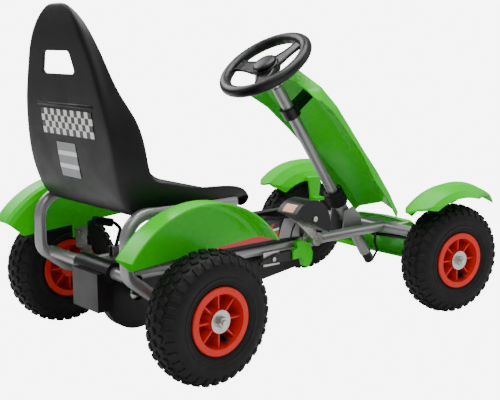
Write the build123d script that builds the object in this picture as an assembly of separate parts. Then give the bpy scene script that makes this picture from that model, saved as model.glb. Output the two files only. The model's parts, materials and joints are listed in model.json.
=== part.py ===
from build123d import *
from math import asin, cos, degrees, pi, radians, sin, sqrt
import os

# Pedal go kart. Millimetres, +X forward, +Y left, +Z up, the floor at Z = 0. While it is
# modelled, X = 0 is the rear axle; at the end the whole kart moves so that X = 0 is its middle.

# ---- overall sizes -------------------------------------------------------------------------
wheelbase = 737.0
rear_track = 544.0
front_track = 536.0
tyre_radius = 130.0
tyre_width = 85.0
rim_radius = 65.0
crank_x = wheelbase - 277.0
steer_at_rest = -10.0      # front wheels turned to the right in the stored pose, degrees

# ---- frame ---------------------------------------------------------------------------------
tube_wall = 2.0
rail_radius = 12.5
rail_y = 50.0
rail_z = 172.0
rail_rear_x = -20.0
hoop_radius = 12.5
hoop_y = 165.0
hoop_top_z = 318.0
hoop_low_z = 154.0
hoop_front_x = 150.0
hoop_rear_x = -108.0
hoop_cross_x = -84.5
hoop_cross_z = 193.0
hoop_bend = 52.0
mid_cross_x = 0.183 * crank_x
beam_radius = 14.0
beam_z = 170.0
kingpin_y = 190.0
housing_radius = 14.0
housing_height = 44.0

# ---- fits ----------------------------------------------------------------------------------
running_gap = 0.05         # radial gap of a shaft in its bearing
face_gap = 0.5             # between parts that turn past each other
axle_end_radius = 6.0
kingpin_radius = 6.0
spindle_radius = 6.0
link_bolt_radius = 4.0

# ---- wheels --------------------------------------------------------------------------------
bead_seat_radius = 56.0
rim_half = 38.5
flange_thickness = 5.0
barrel_thickness = 5.0
hub_radius = 22.0
hub_half = 33.0
rib_count = 8
rib_thickness = 3.5
web_thickness = 4.0
valve_radius = 3.85
valve_cover_radius = 5.0
valve_tip = 15.0
valve_circle = 42.0
valve_angle = -67.5
washer_radius = 22.0
washer_thickness = 2.5
nut_flats = 19.0
nut_height = 10.0
stud_beyond_nut = 4.0

# ---- steering ------------------------------------------------------------------------------
column_lean = 35.5         # degrees back from upright
column_hub_x = wheelbase - 359.0
column_hub_z = 583.0
column_radius = 14.0
upper_column_radius = 11.0
collar_from_hub = 122.0
foot_from_hub = 385.0
foot_length = 210.0
foot_tube_radius = 15.0
shaft_radius = 9.0
steering_wheel_radius = 101.0
grip_radius = 14.0
drop_radius = 51.0
drop_height = 147.0
steering_arm = 60.0
tie_rod_radius = 5.0
link_z = 146.5
spoke_angle = -15.0        # the wheel sits this far round on its column, degrees
linkage_ratio = drop_radius / steering_arm

# ---- drive ---------------------------------------------------------------------------------
crank_z = 183.0
crank_length = 100.0
crank_angle = 138.0
crank_axle_radius = 8.0
crank_arm_y = 84.0
crank_arm_thickness = 8.0
crank_cap_radius = 24.0
pedal_inner_y = 95.0
pedal_width = 62.0
pedal_half_length = 56.0
pedal_tilt = 27.0            # degrees that the front of a pedal hangs down at rest
chain_y = -25.0
chain_pitch = 12.7
chainring_teeth = 28
sprocket_teeth = 14
axle_radius = 9.0
carrier_thickness = 6.0
case_inner_y = -13.0
case_outer_y = -36.0
case_shoulder_y = -62.0
case_wall = 2.5

# ---- body ----------------------------------------------------------------------------------
panel = 3.0                # moulded plastic wall
seat_wall = 5.0
seat_half_width = 178.0
seat_floor_z = hoop_top_z - hoop_radius
seat_floor_half_width = hoop_y - hoop_radius - 4.5
seat_flare_z = hoop_top_z + hoop_radius + 1.5
fender_radius = 212.0
fender_inner_y = 205.0
fender_outer_y = 265.0
front_fender_radius = 182.0

PARTS = {}


def keep(node, *solids):
    """Store one node: a solid, or a group of separate solids."""
    PARTS[node] = [piece for shape in solids for piece in shape.solids()]


def left_right(shape):
    """The shape and its mirror image on the other side of the kart."""
    return shape, mirror(shape, about=Plane.XZ)


def rod(start, end, radius):
    """A round bar between two points."""
    start = Vector(*start)
    axis = Vector(*end) - start
    return Solid.make_cylinder(radius, axis.length, Plane(origin=start, z_dir=axis))


def ring(start, end, outer, inner):
    """A round tube between two points."""
    return rod(start, end, outer) - rod(start, end, inner)


def hexagon(start, end, flats):
    """A hexagonal bar between two points, measured across its flats."""
    start = Vector(*start)
    axis = Vector(*end) - start
    sketch = Plane(origin=start, z_dir=axis) * RegularPolygon(flats / 2, 6, major_radius=False)
    return extrude(sketch, amount=axis.length, dir=axis.normalized())


def bar(points, radius, bend):
    """A round bar along straight runs with one bend radius."""
    path = FilletPolyline(*[Vector(*p) for p in points], radius=bend)
    start = Plane(origin=path @ 0, z_dir=path % 0)
    return sweep(start * Circle(radius), path=path)


def tube(points, radius, bend):
    """A bent steel tube with the frame's wall."""
    return bar(points, radius, bend) - bar(points, radius - tube_wall, bend)


def side_plate(points, y_low, y_high):
    """A plate whose outline is drawn in the X-Z plane, between two Y values."""
    outline = make_face(Polyline(*[(x, y_low, z) for x, z in points], close=True))
    return extrude(outline, amount=y_high - y_low, dir=(0, 1, 0))


def block(x, y, z):
    """A box from its low and high X, Y and Z."""
    size = Box(x[1] - x[0], y[1] - y[0], z[1] - z[0])
    return Pos((x[0] + x[1]) / 2, (y[0] + y[1]) / 2, (z[0] + z[1]) / 2) * size


def revolved(points, angle=360.0):
    """Turn a closed outline of (radius, height) points about Z."""
    outline = make_face(Polyline(*[(r, 0, h) for r, h in points], close=True))
    return revolve(outline, axis=Axis.Z, revolution_arc=angle)


def turned(shape, origin, direction, angle):
    """Turn a shape about any axis."""
    return shape.rotate(Axis(origin, direction), angle)


# ==== wheels ================================================================================
# A wheel is drawn with its axle along Z, +Z outwards, then stood up at its place.

def make_tyre():
    half = tyre_width / 2
    seat = bead_seat_radius
    lip = rim_half - flange_thickness
    shoulder = tyre_radius - 12
    shoulder_half = half - 6.5
    side_radius = (rim_radius + shoulder) / 2
    outer = Polyline((seat, 0, -lip), (rim_radius + 1, 0, -lip))
    outer += ThreePointArc((rim_radius + 1, 0, -lip), (side_radius, 0, -half),
                           (shoulder, 0, -shoulder_half))
    outer += ThreePointArc((shoulder, 0, -shoulder_half), (tyre_radius, 0, 0), (shoulder, 0, shoulder_half))
    outer += ThreePointArc((shoulder, 0, shoulder_half), (side_radius, 0, half), (rim_radius + 1, 0, lip))
    outer += Polyline((rim_radius + 1, 0, lip), (seat, 0, lip), (seat, 0, lip - 9), (seat + 4, 0, lip - 9))
    inside = shoulder - 6
    outer += ThreePointArc((seat + 4, 0, lip - 9), (side_radius - 3, 0, half - 5.5),
                           (inside, 0, shoulder_half - 6))
    outer += ThreePointArc(
        (inside, 0, shoulder_half - 6), (tyre_radius - 7, 0, 0), (inside, 0, 6 - shoulder_half))
    outer += ThreePointArc((inside, 0, 6 - shoulder_half), (side_radius - 3, 0, 5.5 - half),
                           (seat + 4, 0, 9 - lip))
    outer += Polyline((seat + 4, 0, 9 - lip), (seat, 0, 9 - lip), (seat, 0, -lip))
    return revolve(make_face(outer), axis=Axis.Z)


def make_rim(bore):
    lip = rim_half - flange_thickness
    inner = bead_seat_radius - barrel_thickness
    half_web = web_thickness / 2
    outline = [
        (bore, -hub_half), (hub_radius, -hub_half), (hub_radius + 2, -half_web), (inner - 2, -half_web),
        (inner, -lip + 4), (inner + 1, -rim_half), (rim_radius - 1.5, -rim_half), (rim_radius,
                                                                                   -rim_half + 1.5),
        (rim_radius, -lip), (bead_seat_radius, -lip)]
    mirrored = [(r, -h) for r, h in reversed(outline)]
    rim = revolved(outline + mirrored)
    for side in (-1, 1):
        for i in range(rib_count):
            blank = block((hub_radius - 1, inner + 2), (-rib_thickness / 2, rib_thickness / 2),
                          (half_web - 1, lip - 4))
            rib = mirror(blank, about=Plane.XY) if side < 0 else blank
            rim += turned(rib, (0, 0, 0), (0, 0, 1), i * 360 / rib_count)
    valve_hole = rod((inner - 2, 0, 10), (bead_seat_radius + 1, 0, 10), valve_radius + 0.6)
    return rim - turned(valve_hole, (0, 0, 0), (0, 0, 1), valve_angle)


def make_inner_tube():
    middle = (bead_seat_radius + tyre_radius - 7) / 2 + 0.5
    across = middle - bead_seat_radius - 1.5
    wide = tyre_width / 2 - 8.5
    skin = Plane.XZ * Pos(middle, 0) * (Ellipse(across, wide) - Ellipse(across - 2, wide - 2))
    body = revolve(skin, axis=Axis.Z)
    stem = rod((valve_circle, 0, 10), (middle - across + 2.5, 0, 10), valve_radius)
    stem += Pos(valve_circle, 0, 10) * Sphere(valve_cover_radius)
    stem += rod((valve_circle, 0, 10), (valve_circle, 0, rim_half - 3 - valve_tip), valve_cover_radius)
    stem += rod((valve_circle, 0, 10), (valve_circle, 0, rim_half - 3), valve_radius)
    return body + turned(stem, (0, 0, 0), (0, 0, 1), valve_angle)


def make_wheel_nut(height):
    """The washer and the nut that hold a wheel on its axle end, from a height on the axle."""
    washer = ring((0, 0, height), (0, 0, height + washer_thickness), washer_radius, axle_end_radius)
    top = height + washer_thickness + nut_height
    nut = hexagon((0, 0, height + washer_thickness), (0, 0, top), nut_flats)
    return washer, nut - rod((0, 0, 0), (0, 0, top + 1), axle_end_radius)


def stand_wheel(shape, x, y):
    """Stand a wheel piece up at its place; +Z of the drawing ends up pointing outboard."""
    placed = Pos(x, abs(y), tyre_radius) * Rot(-90, 0, 0) * mirror(shape, about=Plane.XZ)
    if y < 0:
        return mirror(placed, about=Plane.XZ)
    return placed


nut_base = hub_half + 0.5
wheel_outer_end = nut_base + washer_thickness + nut_height + stud_beyond_nut


def wheel_pieces(x, y, driven):
    """All the pieces of one wheel, stood up at its place."""
    bore = axle_end_radius if driven else axle_end_radius + running_gap
    turn = 360 / rib_count if y > 0 else 0
    pieces = {
        "tyre": [make_tyre()],
        "inner_tube": [turned(make_inner_tube(), (0, 0, 0), (0, 0, 1), turn)],
        "rim": [turned(make_rim(bore), (0, 0, 0), (0, 0, 1), turn)],
        "wheel_nut": list(make_wheel_nut(nut_base)),
    }
    return {name: [stand_wheel(s, x, y) for s in shapes] for name, shapes in pieces.items()}


# ==== frame =================================================================================

def make_rails():
    beam = rod((wheelbase, -kingpin_y, beam_z), (wheelbase, kingpin_y, beam_z), beam_radius)
    cross = rod((mid_cross_x, -hoop_y, hoop_low_z), (mid_cross_x, hoop_y, hoop_low_z), hoop_radius)
    housing = rod((crank_x, -rail_y - 30, crank_z), (crank_x, rail_y + 30, crank_z), crank_housing_radius)
    rail = ring((rail_rear_x, rail_y, rail_z), (wheelbase, rail_y, rail_z), rail_radius,
                rail_radius - tube_wall)
    rail = rail - beam - cross - housing
    keep("frame_rails", *[max(r.solids(), key=lambda s: s.volume) for r in left_right(rail)])


def make_beam():
    beam_end = kingpin_y
    beam = ring((wheelbase, -beam_end, beam_z), (wheelbase, beam_end, beam_z), beam_radius,
                beam_radius - tube_wall)
    low = beam_z - housing_height / 2
    high = beam_z + housing_height / 2
    for y in (-kingpin_y, kingpin_y):
        beam -= rod((wheelbase, y, low), (wheelbase, y, high), housing_radius)
    beam = max(beam.solids(), key=lambda s: s.volume)
    for y in (-kingpin_y, kingpin_y):
        beam += ring((wheelbase, y, low), (wheelbase, y, high), housing_radius,
                     kingpin_radius + running_gap)
    keep("front_axle_beam", beam)


def make_rear_frame():
    points = [
        (hoop_front_x, hoop_y, hoop_top_z), (hoop_rear_x, hoop_y, hoop_top_z),
        (hoop_rear_x, hoop_y, hoop_cross_z + 10), (hoop_rear_x + 62, hoop_y, hoop_low_z),
        (mid_cross_x + 20, hoop_y, hoop_low_z)]
    corner_bends = [hoop_bend, 30, 40]
    hoop = tube(points, hoop_radius, corner_bends)
    left, right = left_right(hoop)
    keep("rear_hoop_left", left)
    keep("rear_hoop_right", right)
    end = hoop_y
    rear = ring((hoop_cross_x, -end, hoop_cross_z), (hoop_cross_x, end, hoop_cross_z), hoop_radius,
                hoop_radius - tube_wall)
    middle = ring((mid_cross_x, -end, hoop_low_z), (mid_cross_x, end, hoop_low_z), hoop_radius,
                  hoop_radius - tube_wall)
    for solid_hoop in left_right(bar(points, hoop_radius, corner_bends)):
        rear -= solid_hoop
        middle -= solid_hoop
    keep("cross_tubes", *[min(t.solids(), key=lambda s: abs(s.center().Y)) for t in (rear, middle)])


def make_carriers():
    """Plates under the hoops that hold the rear axle's bearings."""
    y_high = hoop_y - hoop_radius
    y_low = y_high - carrier_thickness
    plate = side_plate([
        (-42, hoop_low_z + 8), (42, hoop_low_z + 8), (40, tyre_radius - 4), (22, tyre_radius - 26),
        (-22, tyre_radius - 26), (-40, tyre_radius - 4)], y_low, y_high)
    plate -= rod((0, y_low - 1, tyre_radius), (0, y_high + 1, tyre_radius), 17)
    keep("axle_carriers", *left_right(plate))
    outer = rod((0, y_low - 6, tyre_radius), (0, y_high, tyre_radius), 17)
    outer += rod((0, y_low - 6, tyre_radius), (0, y_low, tyre_radius), 22)
    bearing = outer - rod((0, y_low - 7, tyre_radius), (0, y_high + 1, tyre_radius),
                          axle_radius + running_gap)
    return left_right(bearing)


def make_seat_supports():
    bars = []
    struts = []
    for x in (-10.0, 120.0):
        bars.append(block((x - 15, x + 15), (-hoop_y, hoop_y), (seat_floor_z - 4, seat_floor_z)))
    for y in (-rail_y, rail_y):
        strut = rod((120, y, rail_z), (120, y, seat_floor_z - 4), 10)
        strut -= rod((120, y, rail_z), (120, y, seat_floor_z - 4), 10 - tube_wall)
        strut -= rod((0, y, rail_z), (240, y, rail_z), rail_radius)
        struts.append(max(strut.solids(), key=lambda s: s.volume))
    bolts = []
    for x in (-10.0, 120.0):
        for y in (-70.0, 70.0):
            bolt = rod((x, y, seat_floor_z - 4), (x, y, seat_floor_z + seat_wall), 4)
            bolt += rod((x, y, seat_floor_z + seat_wall), (x, y, seat_floor_z + seat_wall + 3), 9)
            bolt += hexagon((x, y, seat_floor_z - 9), (x, y, seat_floor_z - 4), 13)
            bolts.append(bolt)
            bars = [b - bolt for b in bars]
    keep("seat_supports", *bars, *struts)
    return bolts


# ==== body panels ===========================================================================

def make_seat(bolts):
    """A moulded bucket: its side outline, cut to its back outline and to its floor outline."""
    z0 = seat_floor_z
    side = Polyline((-72, 0, z0), (-98, 0, z0 + 10), (-116, 0, z0 + 50))
    side += Spline((-116, 0, z0 + 50), (-130, 0, 454), (-143, 0, 580), (-149, 0, 655), (-146, 0, 704))
    side += Polyline((-146, 0, 704), (-138, 0, 706), (-134, 0, 696))
    side += Spline((-134, 0, 696), (-126, 0, 640), (-111, 0, 568), (-84, 0, 508), (-66, 0, 455),
                   (-58, 0, 400))
    side += Spline((-58, 0, 400), (-40, 0, 376), (0, 0, 368), (60, 0, 357), (120, 0, 350), (165, 0, 336))
    side += Polyline((165, 0, 336), (196, 0, 314), (192, 0, z0), (-72, 0, z0))
    body = extrude(make_face(side), amount=seat_half_width, dir=(0, 1, 0), both=True)

    def back_outline(inset):
        half = seat_half_width - inset
        right = Spline((150, half, 345), (150, half - 4, 407), (150, half - 19, 477), (150, half - 43, 557),
                       (150, half - 74, 632), (150, half - 115, 684), (150, 0, 708 - inset))
        left = mirror(right, about=Plane.XZ)
        base = Polyline((150, half, 345), (150, half, 200), (150, -half, 200), (150, -half, 345))
        return extrude(make_face(right + left + base), amount=400, dir=(-1, 0, 0))

    def floor_outline(inset):
        low = seat_floor_half_width - inset
        high = seat_half_width - inset
        lower = block((-400, 400), (-low, low), (0, seat_flare_z + inset))
        upper = block((-400, 400), (-high, high), (seat_flare_z + inset, 900))
        return lower + upper

    inner = Polyline((-66, 0, z0 + seat_wall), (-92, 0, z0 + seat_wall + 8), (-110, 0, z0 + 52))
    inner += Spline((-110, 0, z0 + 52), (-124, 0, 454), (-137, 0, 580), (-143, 0, 655), (-141, 0, 696))
    inner += Polyline((-141, 0, 696), (-130, 0, 720), (300, 0, 720), (300, 0, z0 + seat_wall + 4),
                      (188, 0, z0 + seat_wall + 4), (150, 0, z0 + seat_wall), (-66, 0, z0 + seat_wall))
    hollow = extrude(make_face(inner), amount=seat_half_width, dir=(0, 1, 0), both=True)
    seat = body & back_outline(0) & floor_outline(0)
    seat -= hollow & back_outline(seat_wall) & floor_outline(seat_wall)
    slot = make_face(Polyline((-200, -57, 573), (-200, 57, 573), (-200, 45, 617), (-200, -45, 617),
                              close=True))
    seat -= extrude(slot, amount=100, dir=(1, 0, 0))
    for bolt in bolts:
        seat -= bolt
    keep("seat", max(seat.solids(), key=lambda s: s.volume))


def make_rear_fenders():
    cx = 8.0
    outer = [(fender_outer_y, fender_radius), (fender_inner_y + 14, fender_radius),
             (fender_inner_y + 4, fender_radius - 4), (fender_inner_y, fender_radius - 14), (fender_inner_y, 60)]
    inner = [(fender_inner_y + panel, 60), (fender_inner_y + panel, fender_radius - 15),
             (fender_inner_y + 6, fender_radius - 7), (fender_inner_y + 15, fender_radius - panel),
             (fender_outer_y, fender_radius - panel)]
    outline = make_face(Polyline(*[(0, y, r) for y, r in outer + inner], close=True))
    shell = Pos(cx, 0, tyre_radius) * revolve(outline, axis=Axis.Y)
    window = extrude(make_face(Polyline(
        (-220, 0, 305), (-163, 0, 257), (-126, 0, 225), (183, 0, 250), (230, 0, 215), (260, 0, 420),
        (-220, 0, 420), close=True)), amount=400, dir=(0, 1, 0))
    shell = shell & window
    tab = block((-8, 28), (fender_inner_y - 0.5, fender_inner_y + panel), (205, 245))
    fender = shell + tab
    foot_top = hoop_low_z + hoop_radius
    inner_face = fender_inner_y - 0.5
    bracket = block((-4, 24), (inner_face - 3, inner_face), (186, 228))
    bracket += block((-4, 24), (inner_face - 22, inner_face), (183, 186))
    bracket += block((-4, 24), (inner_face - 22, inner_face - 19), (foot_top, 186))
    bracket += block((-4, 24), (hoop_y - 10, inner_face - 19), (foot_top, foot_top + 3))
    bolt = rod((10, inner_face - 8, 216), (10, fender_inner_y + panel + 5, 216), 3)
    bolt += rod((10, inner_face - 8, 216), (10, inner_face - 3, 216), 6)
    bolt += rod((10, fender_inner_y + panel, 216), (10, fender_inner_y + panel + 5, 216), 6)
    left, right = left_right(fender - bolt)
    keep("rear_fender_left", left)
    keep("rear_fender_right", right)
    return left_right(bracket - bolt), left_right(bolt)


def shell_section(edge, top, half_width, corner_height, corner_half, wall):
    """One cross-section of the fairing: a folded sheet between two side edges."""
    run = Vector(top[0] - edge[0], 0, top[1] - edge[1])
    height = run.length
    up = run.normalized()
    outer = [(half_width, 0), (corner_half, corner_height), (0, height)]
    inner = [(0, height - wall), (corner_half - wall, corner_height - wall * 0.7), (half_width - wall, 0)]
    right = outer + [(-u, v) for u, v in reversed(outer[:-1])]
    back = [(-u, v) for u, v in reversed(inner[1:])] + inner
    points = [Vector(edge[0], u, edge[1]) + up * v for u, v in right + back]
    return make_face(Polyline(*points, close=True))


def make_fairing():
    normal = (0.68, 0.73)
    stations = [
        ((wheelbase - 323, 512), (wheelbase - 297, 560), 125, 18, 92),
        ((wheelbase - 297, 503), (wheelbase - 266, 575), 122, 34, 104),
    ]
    for from_beam, z, half, depth, bulge in (
            (-251, 475, 115, 20, 58), (-191, 421, 105, 17, 54), (-135, 367, 98, 14, 50), (-85, 305, 90,
                                                                                          24, 52),
            (-23, 247, 80, 19, 46), (23, 194, 73, 16, 40)):
        x = wheelbase + from_beam
        top = (x + normal[0] * bulge, z + normal[1] * bulge)
        stations.append(((x, z), top, half, depth, half - 6))
    faces = [shell_section(*station, panel) for station in stations]
    pieces = [loft([a, b], ruled=True) for a, b in zip(faces, faces[1:])]
    fairing = pieces[0]
    for piece in pieces[1:]:
        fairing += piece
    return fairing


def make_bumper():
    def section(y, reach, low, high, rear):
        tall = high - low
        outer = [(35, low), (60, low), (60 + reach, low + tall * 0.35), (60 + reach, low + tall * 0.6),
                 (60 + reach * 0.3, high - 4), (rear, high)]
        inner = [(rear, high - panel), (59 + reach * 0.3, high - 4 - panel), (57 + reach, low + tall * 0.6),
                 (57 + reach, low + tall * 0.36), (58, low + panel), (35, low + panel)]
        return make_face(Polyline(*[(wheelbase + x, y, z) for x, z in outer + inner], close=True))

    half = [(184, 2, 92, 112, 57), (112, 14, 91, 124, 59), (96, 18, 90, 180, 59), (82, 19, 90, 187, 31)]
    stations = half + [(0, 22, 90, 190, 31)] + [(-y, *rest) for y, *rest in reversed(half)]
    faces = [section(*station) for station in stations]
    bumper = loft([faces[0], faces[1]], ruled=True)
    for a, b in zip(faces[1:], faces[2:]):
        bumper += loft([a, b], ruled=True)
    return bumper


def make_front_panels():
    fairing = make_fairing()
    bumper = make_bumper()
    keep("front_bumper", bumper)
    brackets = []
    for y in (-78.0, 78.0):
        beam = rod((wheelbase, -200, beam_z), (wheelbase, 200, beam_z), beam_radius)
        arm = block((wheelbase, wheelbase + 53), (y - 12, y + 12), (beam_z + 9.5, beam_z + 13.5)) - beam
        arm = max((arm - bumper).solids(), key=lambda s: s.volume)
        brackets.append(arm)
    keep("fairing", fairing)
    return fairing, brackets


# ==== steering ==============================================================================

lean = radians(column_lean)
down = Vector(sin(lean), 0, -cos(lean))
forward_up = Vector(cos(lean), 0, sin(lean))
hub_point = Vector(column_hub_x, 0, column_hub_z)
column_origin = (column_hub_x, 0, column_hub_z)
column_axis = (-sin(lean), 0, cos(lean))
steering_at_rest = steer_at_rest / linkage_ratio


def on_column(distance, out=0.0):
    """A point on the steering axis, measured from the wheel's hub, or a little in front of it."""
    point = hub_point + down * distance + forward_up * out
    return (point.X, point.Y, point.Z)


def column_turn(shape):
    return turned(shape, column_origin, column_axis, steering_at_rest)


# The drop pin's place when the wheels point straight ahead.
drop_distance = (column_hub_z - drop_height + drop_radius * sin(lean)) / cos(lean)


def make_steering():
    plane = Plane(origin=hub_point, x_dir=forward_up, z_dir=down * -1)
    rim = plane * Torus(steering_wheel_radius, grip_radius)
    hub = rod(on_column(-6), on_column(26), 30)
    hub += rod(on_column(26), on_column(44), 17)
    wheel = rim + hub
    for angle in (0, 120, 240):
        spoke = plane * (Rot(0, 0, angle + spoke_angle) * Pos(steering_wheel_radius / 2, 0, -6) * Box(
            steering_wheel_radius - 6, 30, 9))
        wheel += spoke
    wheel -= rod(on_column(10), on_column(45), upper_column_radius)
    keep("steering_wheel", column_turn(wheel))
    cap = plane * (Pos(0, 0, 6) * Cone(27, 20, 9, align=(Align.CENTER, Align.CENTER, Align.MIN)))
    keep("steering_hub_cap", column_turn(cap))
    lower = ring(on_column(62), on_column(foot_from_hub - 2), column_radius, upper_column_radius)
    keep("column_sleeve", column_turn(lower))
    shaft = rod(on_column(foot_from_hub - 3), on_column(foot_from_hub + foot_length + 14), shaft_radius)
    shaft += rod(on_column(10), on_column(foot_from_hub - 2), upper_column_radius)
    keep("steering_shaft", column_turn(shaft))
    pin = on_column(drop_distance, drop_radius)
    end = foot_from_hub + foot_length + 26
    arm_points = [on_column(end - 12), on_column(end + 14), (pin[0] + 12, 0, pin[2] - 50),
                  (pin[0], 0, pin[2] - 26), (pin[0], 0, pin[2] + 9)]
    arm = bar(arm_points, 3.2, 9)
    cap_low = on_column(end + 4)
    cap_high = on_column(end - 26 + face_gap)
    cap_solid = rod(cap_high, cap_low, 13) - rod(cap_high, on_column(end - 12), shaft_radius)
    keep("drop_arm", column_turn(arm - rod(cap_high, on_column(end - 12), shaft_radius)))
    keep("column_cap", column_turn(cap_solid - arm))


def make_column_mounts(fairing):
    """The parts that the steering column turns in; the collar's clip ends on the fairing."""
    bore = column_radius + running_gap
    collar = ring(on_column(collar_from_hub), on_column(collar_from_hub + 26), 21, bore)
    clip = block((0, 110), (-14, 14), (-9, 9))
    plane = Plane(origin=on_column(collar_from_hub + 13), x_dir=forward_up, z_dir=down * -1)
    collar += (plane * clip) - rod(on_column(collar_from_hub - 5), on_column(collar_from_hub + 40), 18)
    keep("column_collar", max((collar - fairing).solids(), key=lambda s: s.volume))
    foot = ring(on_column(foot_from_hub), on_column(foot_from_hub + 42), 21, shaft_radius + running_gap)
    tube_start = foot_from_hub + 42
    foot_tube = ring(on_column(tube_start), on_column(foot_from_hub + foot_length), foot_tube_radius,
                     shaft_radius + running_gap)
    solid_foot = rod(on_column(tube_start), on_column(foot_from_hub + foot_length), foot_tube_radius)
    plates = []
    top = rail_z + rail_radius
    foot_x = wheelbase - 89
    for y in (-foot_tube_radius - 10.0, foot_tube_radius + 6.0):
        plates.append(side_plate([(foot_x - 26, top + 36), (foot_x + 2, top + 44), (foot_x + 28, top + 20),
                                  (foot_x + 38, rail_z - 8), (foot_x - 36, rail_z - 8)], y, y + 4))
    cheeks = block((foot_x - 36, foot_x + 42), (-rail_y + rail_radius, rail_y - rail_radius),
                   (rail_z - 12, rail_z - 8))
    plates.append(cheeks)
    bracket = plates[0] + plates[1] + plates[2] - solid_foot
    for y in (-1, 1):
        pin = rod((foot_x, y * foot_tube_radius * 0.2, top + 8),
                  (foot_x, y * (foot_tube_radius + 6), top + 8), 5)
        bracket += pin - solid_foot
    bracket = max(bracket.solids(), key=lambda s: s.volume)
    keep("column_foot", bracket + foot_tube + foot)


def make_knuckle():
    """Everything that steers with one front wheel, drawn straight ahead on the left side."""
    y = kingpin_y
    low = beam_z - housing_height / 2
    high = beam_z + housing_height / 2
    half_track = front_track / 2
    pin = rod((wheelbase, y, low - 36), (wheelbase, y, high + 24), kingpin_radius)
    pin += hexagon((wheelbase, y, high + face_gap), (wheelbase, y, high + 10), 19)
    block_top = low - face_gap
    body = block((wheelbase - 15, wheelbase + 15), (y - 13, y + 13), (tyre_radius - 18, block_top))
    body += rod((wheelbase, y, tyre_radius), (wheelbase, half_track - hub_half - face_gap, tyre_radius), 9)
    body += rod((wheelbase, y, tyre_radius), (wheelbase, half_track + wheel_outer_end, tyre_radius),
                spindle_radius)
    arm = block((wheelbase, wheelbase + steering_arm), (y - 8, y + 8), (136, 141))
    arm += rod((wheelbase + steering_arm, y, 136), (wheelbase + steering_arm, y, 141), 9)
    bolt = rod((wheelbase + steering_arm, y, 131), (wheelbase + steering_arm, y, 156), link_bolt_radius)
    bolt += rod((wheelbase + steering_arm, y, link_z + 3.5), (wheelbase + steering_arm, y, link_z + 9), 7)
    return pin + body + arm + bolt


def make_front_fender():
    """A curved mudguard on a stalk, drawn on the left side, straight ahead."""
    middle = front_track / 2 + 2
    half = 48.0
    radius = front_fender_radius
    drop = [(-half, radius - 52), (-half + 8, radius - 30), (-half + 24, radius - 8), (0, radius),
            (24, radius - 5), (half - 8, radius - 16), (half, radius - 30)]
    inner = [(u * (half - panel) / half, r - panel) for u, r in reversed(drop)]
    outline = make_face(Polyline(*[(0, middle + u, r) for u, r in drop + inner], close=True))
    shell = Pos(wheelbase, 0, tyre_radius) * revolve(outline, axis=Axis.Y)
    plan = Spline((-134, 0, 0), (-112, 30, 0), (-50, half + 2, 0), (40, half - 2, 0), (100, 22, 0),
                  (134, 0, 0))
    lens = make_face(plan + mirror(plan, about=Plane.XZ))
    lens = extrude(Pos(wheelbase, middle, 0) * lens, amount=400, dir=(0, 0, 1))
    upper = block((wheelbase - 300, wheelbase + 300), (0, 500), (tyre_radius + 60, 500))
    guard = max((shell & lens & upper).solids(), key=lambda s: s.volume)
    foot = beam_z + housing_height / 2 + 24
    stalk = side_plate([(-14, foot), (14, foot), (20, 262), (-20, 262)], kingpin_y + 14, kingpin_y + 20)
    stalk += block((-20, 20), (kingpin_y + 14, middle - half + 6), (258, 268))
    stalk = Pos(wheelbase, 0, 0) * stalk
    return guard, stalk


def make_front_corners():
    pieces = {}
    for name, side in (("left", 1), ("right", -1)):
        knuckle = make_knuckle()
        guard, stalk = make_front_fender()
        foot = beam_z + housing_height / 2 + 24
        shelf = block((wheelbase - 14, wheelbase + 14), (kingpin_y - 12, kingpin_y + 20), (foot - 8, foot))
        shelf -= rod((wheelbase, kingpin_y, foot - 9), (wheelbase, kingpin_y, foot + 1), kingpin_radius)
        fender = guard + stalk + shelf
        for node, shape in (("knuckle", knuckle), ("front_fender", fender)):
            placed = shape if side > 0 else mirror(shape, about=Plane.XZ)
            pieces[node + "_" + name] = [placed]
        track_y = side * front_track / 2
        for node, shapes in wheel_pieces(wheelbase, track_y, False).items():
            pieces["front_" + node + "_" + name] = shapes
        origin = (wheelbase, side * kingpin_y, 0)
        for node in [n for n in pieces if n.endswith(name)]:
            keep(node, *[turned(s, origin, (0, 0, 1), steer_at_rest) for s in pieces[node]])


def rotated_point(point, origin, axis, angle):
    """Where a point goes when it turns about an axis."""
    return Vertex(*point).rotate(Axis(origin, axis), angle).center()


def make_tie_rods():
    pin = rotated_point(on_column(drop_distance, drop_radius), column_origin, column_axis, steering_at_rest)
    for name, side, lift in (("left", 1, 4.2), ("right", -1, -4.2)):
        pivot = rotated_point(
            (wheelbase + steering_arm, side * kingpin_y, link_z), (wheelbase, side * kingpin_y, 0), (0,
                                                                                                     0, 1),
            steer_at_rest)
        inner = Vector(pin.X, pin.Y, drop_height + lift)
        outer = Vector(pivot.X, pivot.Y, pivot.Z)
        along = (outer - inner).normalized()
        link = rod(tuple(inner + along * 10.8), tuple(outer - along * 9.3), tie_rod_radius)
        eyes = [(inner, 11.0, 7.5), (outer, 9.5, link_bolt_radius + running_gap)]
        for centre, eye_radius, bore in eyes:
            low = (centre.X, centre.Y, centre.Z - 2.7)
            high = (centre.X, centre.Y, centre.Z + 2.7)
            link += rod(low, high, eye_radius)
            link -= rod((centre.X, centre.Y, centre.Z - 9), (centre.X, centre.Y, centre.Z + 9), bore)
        keep("tie_rod_" + name, link)


# ==== drive =================================================================================

crank_housing_radius = 15.0


def sprocket(teeth, y, bore, x, z):
    """A flat toothed wheel for the roller chain."""
    pitch_radius = chain_pitch / (2 * sin(pi / teeth))
    disc = rod((x, y - 1.5, z), (x, y + 1.5, z), pitch_radius + 3)
    for i in range(teeth):
        angle = 2 * pi * (i + 0.5) / teeth
        gx = x + pitch_radius * cos(angle)
        gz = z + pitch_radius * sin(angle)
        disc -= rod((gx, y - 2, gz), (gx, y + 2, gz), 4.1)
    disc -= rod((x, y - 2, z), (x, y + 2, z), bore)
    return disc


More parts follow.
